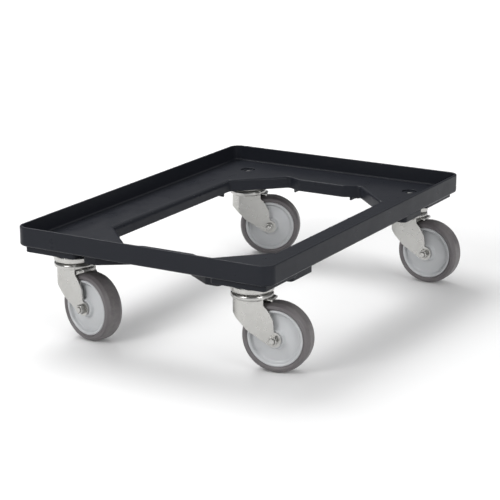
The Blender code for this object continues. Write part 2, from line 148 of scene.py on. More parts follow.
def bridge(bm, loops, closed=False):
    """Quads between neighbouring loops of equal length."""
    pairs = zip(loops, loops[1:] + loops[:1]) if closed else zip(loops, loops[1:])
    for low, high in pairs:
        for i in range(len(low)):
            j = (i + 1) % len(low)
            bm.faces.new((low[i], low[j], high[j], high[i]))


def add_loops(bm, rings):
    return [[bm.verts.new(point) for point in ring] for ring in rings]


def loft(rings, name):
    """Closed solid through rings of equal length, capped at both ends."""
    bm = bmesh.new()
    loops = add_loops(bm, rings)
    bridge(bm, loops)
    bm.faces.new(loops[0])
    bm.faces.new(loops[-1])
    return mesh_from(bm, name)


def prism(outline, z_low, z_high):
    return loft([[(x, y, z) for x, y in outline] for z in (z_low, z_high)], "prism")


def box(x_range, y_range, z_range):
    (x0, x1), (y0, y1) = x_range, y_range
    return prism([(x0, y0), (x1, y0), (x1, y1), (x0, y1)], *z_range)


def filleted(corners, steps):
    """Round each (x, y, radius) corner of a closed outline with an arc."""
    outline = []
    count = len(corners)
    for i, (x, y, radius) in enumerate(corners):
        here = Vector((x, y))
        before = (Vector(corners[i - 1][:2]) - here).normalized()
        after = (Vector(corners[(i + 1) % count][:2]) - here).normalized()
        half = before.angle(after) / 2
        centre = here + (before + after).normalized() * (radius / sin(half))
        start = here + before * (radius / tan(half)) - centre
        turn = start.angle_signed(here + after * (radius / tan(half)) - centre)
        first = atan2(start.y, start.x)
        for k in range(steps + 1):
            angle = first - turn * k / steps
            outline.append((centre.x + radius * cos(angle), centre.y + radius * sin(angle)))
    return outline


def circle(radius, count, centre=(0.0, 0.0)):
    return [(centre[0] + radius * cos(2 * pi * i / count),
             centre[1] + radius * sin(2 * pi * i / count)) for i in range(count)]


def turned(corners, name, segments=64, steps=4):
    """Ring turned about Z from a closed (radius, z, fillet) profile."""
    bm = bmesh.new()
    rings = [[(x, y, z) for x, y in circle(radius, segments)]
             for radius, z in filleted(corners, steps)]
    bridge(bm, add_loops(bm, rings), closed=True)
    return mesh_from(bm, name)


def mirrored(half_profile):
    """Full profile of a wheel part that is alike on both faces."""
    return list(half_profile) + [(r, -z, fillet) for r, z, fillet in reversed(half_profile)]


def lay_along_y(mesh):
    """Turn a mesh made about Z so that its axis lies along Y."""
    mesh.transform(Matrix.Rotation(-pi / 2, 4, "X"))
    return mesh


def smooth(mesh, angle=38):
    mesh.shade_smooth()
    mesh.set_sharp_from_angle(angle=radians(angle))
    return mesh


# ---- frame moulding -----------------------------------------------------
def arc(centre, radius, first, last, steps):
    """Points (inset, z) round part of a circle, angles in degrees."""
    points = []
    for k in range(steps + 1):
        angle = radians(first + (last - first) * k / steps)
        points.append((centre[0] + radius * cos(angle), centre[1] + radius * sin(angle)))
    return points


def rim_profile():
    """(inset, z) from the underside, up the outer wall, over the rim and down to the deck."""
    return (arc((0.004, DECK_BOTTOM + 0.004), 0.004, 270, 180, 6)
            + arc((0.0014, RIM_TOP - 0.0014), 0.0014, 180, 90, 4)
            + arc((LIP_THICKNESS - 0.0011, RIM_TOP - 0.0011), 0.0011, 90, 0, 4)
            + arc((LIP_THICKNESS + 0.0035, DECK_TOP + 0.0030), 0.0030, 180, 270, 6))


def rim_ring(inset, z):
    """Outline of the tray moved inwards by inset, at one height."""
    x, y, radius = HALF_LENGTH - inset, HALF_WIDTH - inset, CORNER_RADIUS - inset
    corners = [(x, y, radius), (-x, y, radius), (-x, -y, radius), (x, -y, radius)]
    return [(px, py, z) for px, py in filleted(corners, steps=12)]


def opening_outline(grow):
    """Edge of the opening, moved outwards by grow."""
    half_width, notch_x = OPENING_HALF_WIDTH + grow, NOTCH_X + grow
    diagonal = GUSSET_SUM + grow * sqrt(2)
    quarter = [
        (diagonal - half_width, half_width, 0.008 + grow),
        (notch_x, diagonal - notch_x, 0.007 + grow),
        (TONGUE_X + grow, TONGUE_HALF_WIDTH, 0.014 - grow),
    ]
    flipped = list(reversed(quarter))
    corners = (quarter + [(x, -y, r) for x, y, r in flipped]
               + [(-x, -y, r) for x, y, r in quarter] + [(-x, y, r) for x, y, r in flipped])
    return [Vector(p) for p in filleted(corners, steps=8)]


def edge_rounding(outward):
    """Radius of the opening's top edge: soft along the sides, crisp elsewhere."""
    share = min(1.0, max(0.0, (abs(outward.y) - 0.75) / 0.25))
    share = share * share * (3 - 2 * share)
    return CRISP_EDGE + (SOFT_EDGE - CRISP_EDGE) * share


def opening_rings():
    """Rings from the deck, over the rounded edge, down the skirt and up its back."""
    edge = opening_outline(0.0)
    outward = [(far - near) * 100 for far, near in zip(opening_outline(0.01), edge)]
    rounding = [edge_rounding(direction) for direction in outward]

    def ring(grow_and_z):
        points = []
        for point, direction, radius in zip(edge, outward, rounding):
            grow, z = grow_and_z(radius)
            points.append((*(point + direction * grow), z))
        return points

    rings = []
    for k in range(9):
        angle = radians(90 * k / 8)
        rings.append(ring(lambda r: (r * (1 - sin(angle)), DECK_TOP - r * (1 - cos(angle)))))
    for grow, z in arc((WALL / 2, SKIRT_BOTTOM + WALL / 2), WALL / 2, 180, 360, 8):
        rings.append(ring(lambda r: (grow, z)))
    rings.append(ring(lambda r: (WALL, DECK_BOTTOM)))
    return rings


def bolt_hole_rings(centre):
    """Rings from the deck, down the bolt recess, through the boss and up its side."""
    profile = (arc((RECESS_RADIUS + 0.0007, DECK_TOP - 0.0007), 0.0007, 90, 180, 3)
               + arc((RECESS_RADIUS - 0.0006, BOLT_SEAT + 0.0006), 0.0006, 0, -90, 3)
               + [(BOLT_HOLE, BOLT_SEAT), (BOLT_HOLE, MOUNT_FACE)]
               + arc((BOSS_RADIUS - 0.0008, MOUNT_FACE + 0.0008), 0.0008, -90, 0, 3)
               + [(BOSS_RADIUS, DECK_BOTTOM)])
    return [[(x, y, z) for x, y in circle(radius, 48, centre)] for radius, z in profile]


def fill_plane(bm, loops):
    """Fill the flat region between an outer loop and the holes in it."""
    edges = []
    for loop in loops:
        edges += [bm.edges.get((loop[i - 1], loop[i])) for i in range(len(loop))]
    bmesh.ops.triangle_fill(bm, use_beauty=True, use_dissolve=False, edges=edges)


def swivel_centres():
    """Swivel axes seen from the middle of the tray."""
    centres = []
    for corner in CORNERS:
        place = Vector(JOINTS[corner + "_swivel"]["pos_m"]) - TRAY_CENTRE
        centres.append((place.x, place.y))
    return centres


def deck_mesh():
    """Rim, deck, skirt and bolt bosses as one closed shell."""
    bm = bmesh.new()
    rim = add_loops(bm, [rim_ring(inset, z) for inset, z in rim_profile()])
    opening = add_loops(bm, opening_rings())
    holes = [add_loops(bm, bolt_hole_rings(centre)) for centre in swivel_centres()]
    for loops in [rim, opening] + holes:
        bridge(bm, loops)
    fill_plane(bm, [rim[-1], opening[0]] + [hole[0] for hole in holes])
    fill_plane(bm, [rim[0], opening[-1]] + [hole[-1] for hole in holes])
    return mesh_from(bm, "deck")


def pod_outline(side_x, side_y, inset):
    """Pod behind a swivel head, with a wing along each bar."""
    diagonal = POD_CHAMFER_SUM - inset * sqrt(2)
    end_x, end_y = 0.212 - inset, 0.114 - inset      # ends of the wings, beside the head
    corners = (
        (0.150 + inset, POD_Y - inset, 0.006),
        (end_x, POD_Y - inset, 0.006),
        (end_x, diagonal - end_x, 0.006),
        (diagonal - end_y, end_y, 0.006),
        (POD_X - inset, end_y, 0.006),
        (POD_X - inset, 0.092, 0.006),
        (0.252 - inset, 0.050 + inset, 0.004),
        (0.200 + inset, 0.050 + inset, 0.004),
        (0.150 + inset, 0.110 + inset, 0.004),
    )
    return filleted([(side_x * x, side_y * y, r) for x, y, r in corners], steps=6)


def pad_outline(side_x, side_y, inset):
    """Pad in the corner, which the swivel head is bolted up against."""
    outer_x, outer_y = HALF_LENGTH - PAD_INSET_X - inset, HALF_WIDTH - PAD_INSET_Y - inset
    inner_x, inner_y = 0.2105 + inset, 0.1125 + inset
    diagonal = PAD_CHAMFER_SUM + inset * sqrt(2)
    corners = (
        (outer_x, inner_y, 0.004),
        (outer_x, outer_y, 0.005),
        (inner_x, outer_y, 0.004),
        (inner_x, diagonal - inner_x, 0.004),
        (diagonal - inner_y, inner_y, 0.004),
    )
    return filleted([(side_x * x, side_y * y, r) for x, y, r in corners], steps=6)


def wall_mesh(outline, side_x, side_y, bottom):
    """Wall round an outline, open below, with a rounded lower edge."""
    levels = [(0.0, DECK_MIDDLE)] + arc((0.001, bottom + 0.001), 0.001, 180, 270, 3)
    levels += arc((WALL - 0.001, bottom + 0.001), 0.001, 270, 360, 3) + [(WALL, DECK_BOTTOM)]
    rings = [[(x, y, z) for x, y in outline(side_x, side_y, inset)] for inset, z in levels]
    return loft(rings, "wall")


def boss_rib_meshes(side_x, side_y, x, y):
    """Crossed ribs that tie a bolt boss to the pad and the pod."""
    half, low = WALL / 2, PAD_BOTTOM + 0.001
    along_x = sorted((side_x * 0.152, side_x * 0.300))
    along_y = sorted((side_y * 0.060, side_y * 0.197))
    return (box(along_x, (y - half, y + half), (low, DECK_MIDDLE)),
            box((x - half, x + half), along_y, (low, DECK_MIDDLE)))


def rib_meshes():
    """Ribs across the underside of the bars."""
    half, ribs = WALL / 2, []
    low = DECK_BOTTOM - RIB_DEPTH
    for side in (-1, 1):
        y_range = sorted((side * (OPENING_HALF_WIDTH + 0.001), side * (HALF_WIDTH - BAR_RIB_INSET)))
        for x in (-0.12, -0.06, 0.0, 0.06, 0.12):
            ribs.append(box((x - half, x + half), y_range, (low, DECK_MIDDLE)))
        x_range = sorted((side * (TONGUE_X + 0.001), side * (HALF_LENGTH - BAR_RIB_INSET)))
        for y in (-0.03, 0.0, 0.03):
            ribs.append(box(x_range, (y - half, y + half), (low, DECK_MIDDLE)))
    return ribs


def frame_mesh():
    frame_body = new_object("frame_work", deck_mesh())
    opening = prism(opening_outline(WALL / 2), POD_BOTTOM - 0.01, RIM_TOP)
    for x, y in swivel_centres():
        side_x, side_y = (1 if x > 0 else -1), (1 if y > 0 else -1)
        pod = new_object("pod_work", wall_mesh(pod_outline, side_x, side_y, POD_BOTTOM))
        combine(pod, wall_mesh(pad_outline, side_x, side_y, PAD_BOTTOM), "UNION")
        for rib in boss_rib_meshes(side_x, side_y, x, y):
            combine(pod, rib, "UNION")
        combine(pod, opening.copy(), "DIFFERENCE")
        combine(pod, prism(circle(BOLT_HOLE + 0.001, 48, (x, y)), POD_BOTTOM, RIM_TOP), "DIFFERENCE")
        combine(frame_body, take_mesh(pod, "pod"), "UNION")
    for rib in rib_meshes():
        combine(frame_body, rib, "UNION")
    return smooth(take_mesh(frame_body, "frame_shell"))


# ---- threaded pieces ----------------------------------------------------
def hex_limit(corner_radius, angle):
    """Distance from the axis to the side of a hexagon, at one angle."""
    within = angle % (pi / 3) - pi / 6
    return corner_radius * cos(pi / 6) / cos(within)


def hex_rings(corner_radius, z_low, z_high, chamfer_low, chamfer_high, segments=72):
    """Rings up a hexagon whose corners are chamfered to a circle at either end."""
    flat, slope = corner_radius * 0.85, 1.7
    rings = []
    for share in (0.0, 0.04, 0.09, 0.15, 0.22, 0.78, 0.85, 0.91, 0.96, 1.0):
        z = z_low + (z_high - z_low) * share
        limit = corner_radius
        if chamfer_low:
            limit = min(limit, flat + (z - z_low) * slope)
        if chamfer_high:
            limit = min(limit, flat + (z_high - z) * slope)
        ring = []
        for i in range(segments):
            angle = 2 * pi * i / segments
            radius = min(limit, hex_limit(corner_radius, angle))
            ring.append((radius * cos(angle), radius * sin(angle), z))
        rings.append(ring)
    return rings


def round_rings(profile, segments=72):
    """Rings about Z from (radius, z) points."""
    return [[(x, y, z) for x, y in circle(radius, segments)] for radius, z in profile]


def thread_profile(radius, z_from, z_to):
    """Rounded ridges along the end of a bolt."""
    half_pitch, depth = 0.00055, 0.00035
    count = max(2, round(abs(z_to - z_from) / half_pitch))
    return [(radius - depth * (k % 2), z_from + (z_to - z_from) * k / count)
            for k in range(count)] + [(radius - 0.0007, z_to)]


def mount_bolt_mesh():
    seat = BOLT_SEAT + WASHER_THICKNESS + 2 * GAP
    tip = MOUNT_FACE - 0.0290
    rings = round_rings(reversed(thread_profile(BOLT_RADIUS, seat, tip)))
    rings += hex_rings(BOLT_HEX_RADIUS, seat, seat + 0.0060, False, True)
    rings += round_rings(((0.0074, seat + 0.0060), (0.0068, seat + 0.0057)))
    return smooth(loft(rings, "mount_bolt"))


def mount_washer_mesh():
    low, high = BOLT_SEAT + GAP, BOLT_SEAT + GAP + WASHER_THICKNESS
    corners = ((BOLT_HOLE, low, 0.0001), (WASHER_RADIUS, low, 0.0002),
               (WASHER_RADIUS, high, 0.0004), (BOLT_HOLE, high, 0.0001))
    return smooth(turned(corners, "mount_washer", 48))


def king_nut_mesh():
    """Hex nut under a round flange."""
    low, high = MOUNT_FACE - 0.0295, MOUNT_FACE - 0.0195
    bm = bmesh.new()
    rings = hex_rings(BOLT_HEX_RADIUS, low, low + 0.0065, True, False)
    rings += round_rings(((0.0160, low + 0.0067), (0.0165, low + 0.0072), (0.0165, high - 0.0004),
                          (0.0161, high), (BOLT_HOLE, high), (BOLT_HOLE, low)))
    bridge(bm, add_loops(bm, rings), closed=True)
    return smooth(mesh_from(bm, "king_nut"))


def axle_bolt_mesh():
    """Hex head on one side of the fork, threaded end on the other."""
    face = FORK_FACE + GAP
    shank = thread_profile(AXLE_RADIUS, -face - 0.0060, -face - 0.0085)
    rings = round_rings(reversed(shank))
    rings += round_rings(((AXLE_RADIUS, face), (0.0062, face), (0.0064, face + 0.0004)))
    rings += hex_rings(AXLE_HEX_RADIUS, face + 0.0005, face + 0.0050, False, True)
    rings += round_rings(((0.0050, face + 0.0050), (0.0045, face + 0.0047)))
    return smooth(lay_along_y(loft(rings, "axle_bolt")))


def axle_nut_mesh():
    face, bore = FORK_FACE + GAP, AXLE_HOLE
    bm = bmesh.new()
    rings = hex_rings(AXLE_HEX_RADIUS, -face - 0.0062, -face - 0.0005, True, False)
    rings += round_rings(((0.0064, -face - 0.0004), (0.0062, -face), (bore, -face),
                          (bore, -face - 0.0057), (bore + 0.0006, -face - 0.0062)))
    bridge(bm, add_loops(bm, rings), closed=True)
    return smooth(lay_along_y(mesh_from(bm, "axle_nut")))


# ---- swivel head --------------------------------------------------------
def head_profile(*corners):
    """(radius, drop below the mounting face, fillet) in millimetres, as metres."""
    return [(r / 1000, MOUNT_FACE - drop / 1000, fillet / 1000) for r, drop, fillet in corners]


def fixed_race_mesh():
    """Top cap of the swivel head, whose rounded skirt shields the upper balls."""
    profile = head_profile(
        (5.4, 19.2, 0.3), (8.5, 19.2, 0.5), (8.5, 5.3, 0.5), (26.4, 5.3, 0.8), (26.6, 13.4, 0.3),
        (30.6, 13.4, 3.2), (30.6, 5.0, 3.5), (27.4, 0.3, 1.5), (5.4, 0.3, 0.3))
    return smooth(turned(profile, "fixed_race", 72, 8))


def crown_profile():
    """Plate under the fixed race, with a deep bead round its edge."""
    return head_profile(
        (9.4, 14.0, 0.3), (22.3, 14.0, 0.6), (23.6, 15.2, 0.6), (23.6, 22.6, 0.6),
        (30.1, 22.6, 3.6), (30.1, 14.0, 3.6), (25.4, 14.0, 0.5), (25.4, 11.5, 0.8),
        (9.4, 11.5, 0.3))


def ball_row_mesh(ring_radius, ball_radius, drop, name):
    """A full row of bearing balls."""
    bm = bmesh.new()
    count = int(2 * pi * ring_radius / (2 * ball_radius * 1.02))
    for i in range(count):
        turn = Matrix.Rotation(2 * pi * i / count, 4, "Z")
        place = turn @ Matrix.Translation((ring_radius, 0, MOUNT_FACE - drop))
        bmesh.ops.create_icosphere(bm, subdivisions=2, radius=ball_radius, matrix=place)
    mesh = mesh_from(bm, name)
    mesh.shade_smooth()
    return mesh


# ---- fork ---------------------------------------------------------------
def through(points, x):
    """Height at x of a line through (x, z) points given in millimetres."""
    for (x0, z0), (x1, z1) in zip(points, points[1:]):
        if x <= x1:
            return z0 + (z1 - z0) * (x - x0) / (x1 - x0)
    return points[-1][1]


def softened(points, x, reach=1.6):
    """The same line with its corners rounded off."""
    steps = range(-4, 5)
    return sum(through(points, x + reach * k / 4) for k in steps) / len(steps)


FORK_LOWER_EDGE = ((-60, 84.5), (-22, 82), (-0.7, 60), (14, 51.5), (27.5, 43), (38, 39.2))
FORK_UPPER_EDGE = ((22.8, 98), (29, 92), (36.6, 79), (42, 68.5), (60, 40))
FORK_END = (38.0, 50.5, 11.0)      # middle of the rounded axle end and its radius
FORK_TOP = 112.2                   # upper edge of the sheet, inside the crown's bead
FORK_STEP_X = 22.8                 # the sheet's upright rear edge under the crown
FORK_FRONT, FORK_BEND = -24.5, 14.0    # middle of the sheet at the front, radius of its wrap


def fork_heights(x):
    """Lower and upper edge of the fork's sheet at x, in millimetres."""
    end_x, end_z, end_radius = FORK_END
    reach = sqrt(max(0.04, end_radius ** 2 - (x - end_x) ** 2))
    low = softened(FORK_LOWER_EDGE, x)
    if x > end_x - 6:
        share = min(1.0, (x - end_x + 6) / 6)
        low = low * (1 - share) + (end_z - reach) * share
    if x <= FORK_STEP_X:
        return low, FORK_TOP
    high = softened(FORK_UPPER_EDGE, x)
    return low, min(high, end_z + reach) if x > end_x else high


def fork_stations():
    """Plan of the sheet, as (x, y) and outward direction: one leg, the front, the other leg."""
    end, half = FORK_END[0] + FORK_END[2], FORK_HALF * 1000
    bend_x = FORK_FRONT + FORK_BEND
    leg = [end - 12 * (1 - cos(radians(90 * k / 12))) for k in range(12)]
    leg += [end - 12 - (end - 12 - 23.0) * k / 8 for k in range(9)]
    leg += [FORK_STEP_X - (FORK_STEP_X - bend_x) * k / 20 for k in range(20)]
    stations = [((x, half), (0, 1)) for x in leg]
    for k in range(15):
        angle = radians(90 + 90 * k / 14)
        stations.append(((bend_x + FORK_BEND * cos(angle),
                          half - FORK_BEND + FORK_BEND * sin(angle)), (cos(angle), sin(angle))))
    return stations + [((x, -y), (nx, -ny)) for (x, y), (nx, ny) in reversed(stations)]


def fork_sheet_mesh():
    """Pressed sheet that wraps the front of the wheel and carries the axle on both sides."""
    rings = []
    half = FORK_SHEET * 500
    for (x, y), (out_x, out_y) in fork_stations():
        low, high = fork_heights(x)
        inner = (x - out_x * half, y - out_y * half)
        outer = (x + out_x * half, y + out_y * half)
        ring = [(*inner, low), (*inner, high), (*outer, high), (*outer, low)]
        rings.append([(px / 1000, py / 1000, pz / 1000) for px, py, pz in ring])
    sheet = new_object("sheet_work", loft(rings, "sheet"))
    bevel = sheet.modifiers.new("edges", "BEVEL")
    bevel.width, bevel.segments = 0.0006, 3
    bevel.limit_method, bevel.angle_limit = "ANGLE", radians(50)
    return take_mesh(applied(sheet), "sheet")


def visor_mesh():
    """Lug that stands out of the crown over the wheel, with a turned-down lip."""
    top = MOUNT_FACE - 0.0208
    outline = filleted(((0.0235, -0.0120, 0.001), (0.0325, -0.0125, 0.003),
                        (0.0325, 0.0125, 0.003), (0.0235, 0.0120, 0.001)), 6)
    low = filleted(((0.0300, -0.0112, 0.0005), (0.0332, -0.0118, 0.0012),
                    (0.0332, 0.0118, 0.0012), (0.0300, 0.0112, 0.0005)), 6)
    centre = Vector((0.028, 0.0))
    rings = []
    for shrink, z in ((0.0006, 0.0), (0.0, 0.0006), (0.0, 0.0018), (0.0005, 0.0024)):
        rings.append([(*(Vector(p) + (centre - Vector(p)).normalized() * shrink), top - z)
                      for p in outline])
    plate = new_object("plate_work", loft(rings, "plate"))
    lip = loft([[(x, y, top - z) for x, y in low] for z in (0.0008, 0.0030, 0.0034)], "lip")
    combine(plate, lip, "UNION")
    return take_mesh(plate, "visor")


def fork_mesh():
    fork = new_object("fork_work", turned(crown_profile(), "crown", 72))
    combine(fork, fork_sheet_mesh(), "UNION")
    combine(fork, visor_mesh(), "UNION")
    hole = lay_along_y(prism(circle(AXLE_HOLE, 32), -0.03, 0.03))
    hole.transform(Matrix.Translation((TRAIL, 0, WHEEL_RADIUS)))
    combine(fork, hole, "DIFFERENCE")
    return smooth(take_mesh(fork, "fork_shell"))


# ---- wheel --------------------------------------------------------------
def axle_sleeve_mesh():
    corners = mirrored(((AXLE_HOLE, 0.0175, 0.0002), (0.0061, 0.0175, 0.0004)))
    return smooth(lay_along_y(turned(corners, "axle_sleeve", 48)))


def hub_mesh():
    """Dished wheel centre with a raised rim ring and a boss."""
    half_profile = (
        (0.0064, 0.0165, 0.0004), (0.0125, 0.0165, 0.0012), (0.0150, 0.0112, 0.0030),
        (0.0345, 0.0080, 0.0030), (0.0366, 0.0132, 0.0010), (0.0385, 0.0146, 0.0012),
        (0.0405, 0.0138, 0.0006))
    return smooth(lay_along_y(turned(mirrored(half_profile), "hub", 96, 6)))


def tyre_mesh():
    """Soft tread with rounded shoulders and a thin step round each side wall."""
    half_profile = (
        (0.0408, 0.0138, 0.0005), (0.0436, 0.0160, 0.0007), (0.0442, 0.0153, 0.0003),
        (0.0470, 0.0146, 0.0030), (WHEEL_RADIUS, 0.0085, 0.0050))
    return smooth(lay_along_y(turned(mirrored(half_profile), "tyre", 96, 6)))


# ---- material helpers ---------------------------------------------------
def shader_of(name):
    material = bpy.data.materials.new(name)
    material.use_nodes = True
    tree = material.node_tree
    return material, tree, tree.nodes["Principled BSDF"]


def math_node(tree, operation, a, b=None):
    node = tree.nodes.new("ShaderNodeMath")
    node.operation = operation
    for socket, value in zip(node.inputs, (a, b)):
        if isinstance(value, (int, float)):
            socket.default_value = value
        elif value is not None:
            tree.links.new(value, socket)
    return node.outputs[0]


def coordinates(tree, stretch=(1, 1, 1)):
    """Object coordinates in metres, moved by a different amount on each object."""
    place = tree.nodes.new("ShaderNodeTexCoord").outputs["Object"]
    info = tree.nodes.new("ShaderNodeObjectInfo")
    shift = tree.nodes.new("ShaderNodeVectorMath")
    shift.operation = "MULTIPLY_ADD"
    tree.links.new(place, shift.inputs[0])
    shift.inputs[1].default_value = stretch
    tree.links.new(math_node(tree, "MULTIPLY", info.outputs["Random"], 3.0), shift.inputs[2])
    return shift.outputs[0]


def noise(tree, place, scale, detail=4.0, roughness=0.55):
    node = tree.nodes.new("ShaderNodeTexNoise")
    node.inputs["Scale"].default_value = scale
    node.inputs["Detail"].default_value = detail
    node.inputs["Roughness"].default_value = roughness
    tree.links.new(place, node.inputs["Vector"])
    return node.outputs["Fac"]


def remap(tree, value, from_low, from_high, to_low, to_high):
    node = tree.nodes.new("ShaderNodeMapRange")
    tree.links.new(value, node.inputs["Value"])
    for name, number in (("From Min", from_low), ("From Max", from_high),
                         ("To Min", to_low), ("To Max", to_high)):
        node.inputs[name].default_value = number
    return node.outputs["Result"]


def mix_colours(tree, share, first, second):
    node = tree.nodes.new("ShaderNodeMix")
    node.data_type = "RGBA"
    tree.links.new(share, node.inputs["Factor"])
    for socket, value in zip((node.inputs[6], node.inputs[7]), (first, second)):
        if isinstance(value, tuple):
            socket.default_value = (*value, 1.0)
        else:
            tree.links.new(value, socket)
    return node.outputs[2]


def bump(tree, height, distance, strength=1.0, under=None):
    node = tree.nodes.new("ShaderNodeBump")
    node.inputs["Strength"].default_value = strength
    node.inputs["Distance"].default_value = distance
    tree.links.new(height, node.inputs["Height"])
    if under is not None:
        tree.links.new(under, node.inputs["Normal"])
    return node.outputs["Normal"]


def worn_and_highlit_edges(tree, radius, place):
    """1 on sharp edges, broken up by noise, and 0 on open faces."""
    rounded = tree.nodes.new("ShaderNodeBevel")
    rounded.samples = 4
    rounded.inputs["Radius"].default_value = radius
    flat = tree.nodes.new("ShaderNodeNewGeometry")
    dot = tree.nodes.new("ShaderNodeVectorMath")
    dot.operation = "DOT_PRODUCT"
    tree.links.new(rounded.outputs[0], dot.inputs[0])
    tree.links.new(flat.outputs["Normal"], dot.inputs[1])
    edge = remap(tree, dot.outputs["Value"], 0.99, 0.80, 0.0, 1.0)
    return math_node(tree, "MULTIPLY", edge, remap(tree, noise(tree, place, 90), 0.4, 0.65, 0, 1))


def radius_from_axle(tree):
    """Distance from the wheel's axle, in metres."""
    place = tree.nodes.new("ShaderNodeTexCoord").outputs["Object"]
    flat = tree.nodes.new("ShaderNodeVectorMath")
    flat.operation = "MULTIPLY"
    tree.links.new(place, flat.inputs[0])
    flat.inputs[1].default_value = (1, 0, 1)
    length = tree.nodes.new("ShaderNodeVectorMath")
    length.operation = "LENGTH"
    tree.links.new(flat.outputs[0], length.inputs[0])
    return length.outputs["Value"]


# ---- materials ----------------------------------------------------------
def moulded_plastic():
    """Dark, semi-gloss moulded plastic with a fine grain and faint handling marks."""
    material, tree, shader = shader_of("moulded_plastic_finish")
    place = coordinates(tree)
    cloud = noise(tree, place, 9, 3)
    colour = mix_colours(tree, cloud, (0.0130, 0.0145, 0.0190), (0.0175, 0.0190, 0.0245))
    scuffs = noise(tree, coordinates(tree, (30, 2.5, 30)), 8, 5, 0.7)
    scuffs = remap(tree, scuffs, 0.62, 0.85, 0.0, 0.35)
    colour = mix_colours(tree, scuffs, colour, (0.027, 0.029, 0.034))
    edges = worn_and_highlit_edges(tree, 0.0012, place)
    colour = mix_colours(tree, edges, colour, (0.031, 0.034, 0.040))
    tree.links.new(colour, shader.inputs["Base Color"])
    roughness = remap(tree, noise(tree, place, 40, 5), 0.3, 0.7, 0.27, 0.38)
    tree.links.new(math_node(tree, "ADD", roughness, math_node(tree, "MULTIPLY", scuffs, 0.15)),
                   shader.inputs["Roughness"])
    waves = bump(tree, noise(tree, place, 14, 1), 0.0004, 0.35)
    grain = bump(tree, noise(tree, place, 1500, 2), 0.00004, 0.5, waves)
    tree.links.new(grain, shader.inputs["Normal"])
    shader.inputs["IOR"].default_value = 1.22
    return material


def zinc_plate():
    """Satin zinc plating on pressed steel: mottled, with edges painted brighter, partly as wear and
    partly as a painted highlight.
    """
    material, tree, shader = shader_of("zinc_plate_finish")
    place = coordinates(tree)
    mottle = noise(tree, place, 70, 4, 0.6)
    colour = mix_colours(tree, mottle, (0.46, 0.456, 0.440), (0.53, 0.526, 0.508))
    stain = remap(tree, noise(tree, place, 30, 3), 0.5, 0.9, 0.0, 0.4)
    colour = mix_colours(tree, stain, colour, (0.41, 0.40, 0.375))
    # Painted highlight and wear: sharp edges lightened towards bright zinc.
    edges = worn_and_highlit_edges(tree, 0.0006, place)
    colour = mix_colours(tree, edges, colour, (0.80, 0.79, 0.77))
    tree.links.new(colour, shader.inputs["Base Color"])
    shader.inputs["Metallic"].default_value = 1.0
    roughness = remap(tree, noise(tree, place, 120, 4), 0.3, 0.7, 0.26, 0.32)
    tree.links.new(roughness, shader.inputs["Roughness"])
    dents = bump(tree, noise(tree, place, 40, 1), 0.0001, 0.1)
    grain = bump(tree, noise(tree, place, 2200, 2), 0.00001, 0.15, dents)
    tree.links.new(grain, shader.inputs["Normal"])
    return material


def bright_steel():
    """Bright fasteners with fine turning marks."""
    material, tree, shader = shader_of("bright_steel_finish")
    place = coordinates(tree)
    colour = mix_colours(tree, noise(tree, place, 150), (0.74, 0.74, 0.72), (0.90, 0.90, 0.88))
    tree.links.new(colour, shader.inputs["Base Color"])
    shader.inputs["Metallic"].default_value = 1.0
    roughness = remap(tree, noise(tree, place, 300), 0.3, 0.7, 0.34, 0.46)
    tree.links.new(roughness, shader.inputs["Roughness"])
    marks = noise(tree, coordinates(tree, (1, 1, 40)), 120, 3)
    tree.links.new(bump(tree, marks, 0.00005, 0.5), shader.inputs["Normal"])
    return material


def hub_plastic():
    """Pale grey moulded wheel centre, with faint flow rings and dust."""
    material, tree, shader = shader_of("hub_plastic_finish")
    place = coordinates(tree)
    colour = mix_colours(tree, noise(tree, place, 30), (0.48, 0.49, 0.50), (0.55, 0.56, 0.57))
    dust = remap(tree, noise(tree, place, 260, 6, 0.7), 0.58, 0.75, 0.0, 0.45)
    colour = mix_colours(tree, dust, colour, (0.42, 0.415, 0.41))
    tree.links.new(colour, shader.inputs["Base Color"])
    roughness = remap(tree, noise(tree, place, 90), 0.3, 0.7, 0.30, 0.44)
    tree.links.new(roughness, shader.inputs["Roughness"])
    rings = math_node(tree, "SINE", math_node(tree, "MULTIPLY", radius_from_axle(tree), 5200))
    flow = bump(tree, rings, 0.00002, 0.4)
    tree.links.new(bump(tree, noise(tree, place, 1200), 0.00003, 0.4, flow),
                   shader.inputs["Normal"])
    return material


def grey_tyre():
    """Satin brown-grey tyre, with moulding rings, and dust on its tread."""
    material, tree, shader = shader_of("grey_tyre_finish")
    place = coordinates(tree)
    colour = mix_colours(tree, noise(tree, place, 60), (0.118, 0.108, 0.112), (0.150, 0.139, 0.143))
    radius = radius_from_axle(tree)
    tread = remap(tree, radius, 0.0478, 0.0498, 0.0, 1.0)
    dust = math_node(tree, "MULTIPLY", tread,
                     remap(tree, noise(tree, place, 140, 6, 0.7), 0.42, 0.7, 0.0, 0.6))
    colour = mix_colours(tree, dust, colour, (0.20, 0.19, 0.18))
    tree.links.new(colour, shader.inputs["Base Color"])
    roughness = remap(tree, noise(tree, place, 110), 0.3, 0.7, 0.36, 0.50)
    tree.links.new(roughness, shader.inputs["Roughness"])
    rings = math_node(tree, "SINE", math_node(tree, "MULTIPLY", radius, 6500))
    flow = bump(tree, rings, 0.00003, 0.4)
    tree.links.new(bump(tree, noise(tree, place, 900, 3), 0.00006, 0.6, flow),
                   shader.inputs["Normal"])
    return material


